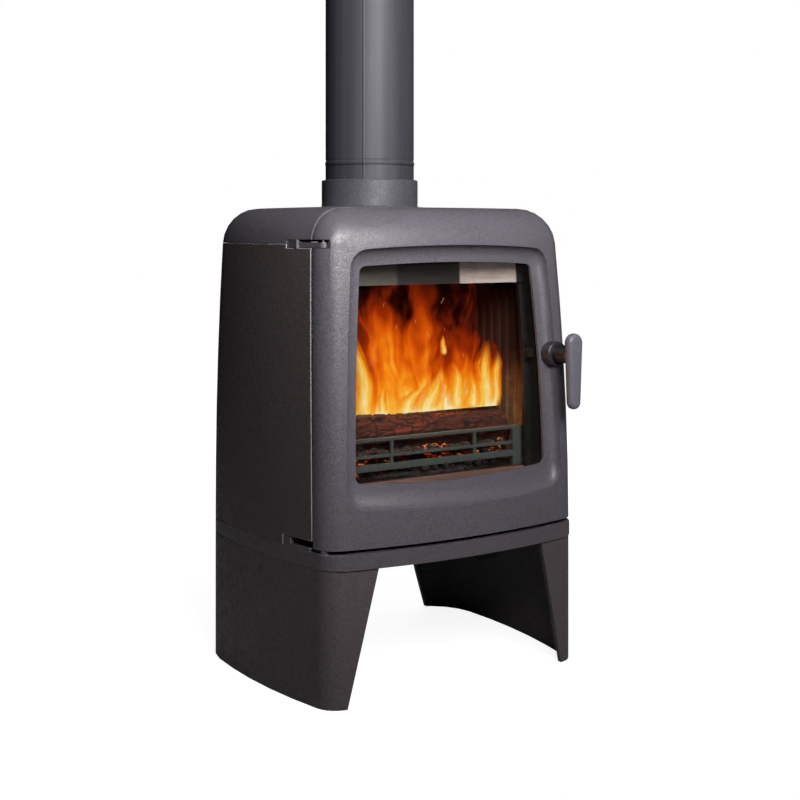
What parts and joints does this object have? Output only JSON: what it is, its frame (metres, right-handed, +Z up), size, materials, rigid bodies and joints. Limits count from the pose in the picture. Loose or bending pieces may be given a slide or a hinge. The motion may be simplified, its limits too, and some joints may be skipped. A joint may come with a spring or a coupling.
{
  "type": "cast iron wood stove",
  "caption": "Freestanding cast iron wood stove with a log store in its base, a bowed glazed door on hinge pins, a turn handle, air slides and a round flue.",
  "frame": {"origin": "on the floor, under the middle of the whole stove's bounding box", "axes": "+Z up along the flue, the door faces -Y, +X to the right seen from the front"},
  "size_m": [0.5156, 0.4518, 1.242],
  "materials": {
    "air_guide_left": "blackened steel",
    "air_guide_right": "blackened steel",
    "air_slide_left": "blackened steel",
    "air_slide_right": "blackened steel",
    "airwash_plate": "matt black sand-cast iron",
    "ash_pan": "blackened steel",
    "back_panel": "matt high-temperature paint over sand-cast iron",
    "baffle_plate": "pale vermiculite board with soot",
    "base_wall_left": "matt high-temperature paint over sand-cast iron",
    "base_wall_right": "matt high-temperature paint over sand-cast iron",
    "collar_screw_1": "blackened steel",
    "collar_screw_2": "blackened steel",
    "collar_screw_3": "blackened steel",
    "door_casting": "matt high-temperature paint over sand-cast iron",
    "door_glass": "clear ceramic glass, faintly smoked",
    "door_seal": "knitted glass fibre rope, dark grey",
    "ember_bed": "ash and glowing embers",
    "fire_brick_left": "pale vermiculite board with soot",
    "fire_brick_rear": "pale vermiculite board with soot",
    "fire_brick_right": "pale vermiculite board with soot",
    "firebox_floor": "matt black sand-cast iron",
    "flue_collar": "matt high-temperature paint over sand-cast iron",
    "flue_pipe": "satin dark grey stove paint on rolled steel",
    "front_frame": "matt black sand-cast iron",
    "glass_clip_1": "blackened steel",
    "glass_clip_2": "blackened steel",
    "glass_clip_3": "blackened steel",
    "glass_clip_4": "blackened steel",
    "glass_gasket": "knitted glass fibre rope, dark grey",
    "grate": "matt black sand-cast iron",
    "handle_collar": "matt black sand-cast iron",
    "handle_grip": "matt black sand-cast iron",
    "hinge_pin_lower": "bare turned steel",
    "hinge_pin_upper": "bare turned steel",
    "latch_cam": "blackened steel",
    "latch_keeper": "blackened steel",
    "latch_spindle": "bare turned steel",
    "log_front": "charred split wood",
    "log_guard": "matt black sand-cast iron",
    "log_rear": "charred split wood",
    "log_top": "charred split wood",
    "plinth_plate": "matt high-temperature paint over sand-cast iron",
    "side_panel_left": "matt high-temperature paint over sand-cast iron",
    "side_panel_right": "matt high-temperature paint over sand-cast iron",
    "spindle_nut": "bare turned steel",
    "tie_rod_1": "blackened steel",
    "tie_rod_2": "blackened steel",
    "tie_rod_3": "blackened steel",
    "tie_rod_4": "blackened steel",
    "top_casting": "matt high-temperature paint over sand-cast iron",
    "upper_hinge_strap": "matt black sand-cast iron"
  },
  "bodies": {
    "stove": {"air_guide_left": "air_guide_left", "air_guide_right": "air_guide_right", "airwash_plate": "airwash_plate", "ash_pan": "ash_pan", "back_panel": "back_panel", "baffle_plate": "baffle_plate", "base_wall_left": "base_wall_left", "base_wall_right": "base_wall_right", "collar_screw_1": "collar_screw_1", "collar_screw_2": "collar_screw_2", "collar_screw_3": "collar_screw_3", "ember_bed": "ember_bed", "fire_brick_left": "fire_brick_left", "fire_brick_rear": "fire_brick_rear", "fire_brick_right": "fire_brick_right", "firebox_floor": "firebox_floor", "flue_collar": "flue_collar", "flue_pipe": "flue_pipe", "front_frame": "front_frame", "grate": "grate", "hinge_pin_lower": "hinge_pin_lower", "hinge_pin_upper": "hinge_pin_upper", "latch_keeper": "latch_keeper", "log_front": "log_front", "log_guard": "log_guard", "log_rear": "log_rear", "log_top": "log_top", "plinth_plate": "plinth_plate", "side_panel_left": "side_panel_left", "side_panel_right": "side_panel_right", "tie_rod_1": "tie_rod_1", "tie_rod_2": "tie_rod_2", "tie_rod_3": "tie_rod_3", "tie_rod_4": "tie_rod_4", "top_casting": "top_casting", "upper_hinge_strap": "upper_hinge_strap"},
    "door": {"door_casting": "door_casting", "door_glass": "door_glass", "glass_gasket": "glass_gasket", "glass_clip_1": "glass_clip_1", "glass_clip_2": "glass_clip_2", "glass_clip_3": "glass_clip_3", "glass_clip_4": "glass_clip_4", "door_seal": "door_seal", "handle_collar": "handle_collar"},
    "handle": {"handle_grip": "handle_grip", "latch_spindle": "latch_spindle", "latch_cam": "latch_cam", "spindle_nut": "spindle_nut"},
    "air_left": {"air_slide_left": "air_slide_left"},
    "air_right": {"air_slide_right": "air_slide_right"}
  },
  "joints": [
    {"name": "door_hinge", "type": "hinge", "parent": "stove", "child": "door", "pos_m": [-0.22479, -0.15963, 0.231], "axis": [-0.0223, -0.05, -0.9985], "range_deg": [0, 110]},
    {"name": "handle_turn", "type": "hinge", "parent": "door", "child": "handle", "pos_m": [0.197, -0.15627, 0.4973], "axis": [0, -1, 0], "range_deg": [0, 90]},
    {"name": "air_left_slide", "type": "slide", "parent": "stove", "child": "air_left", "axis": [-1, 0, 0], "range_m": [0, 0.02]},
    {"name": "air_right_slide", "type": "slide", "parent": "stove", "child": "air_right", "axis": [1, 0, 0], "range_m": [0, 0.02]}
  ]
}
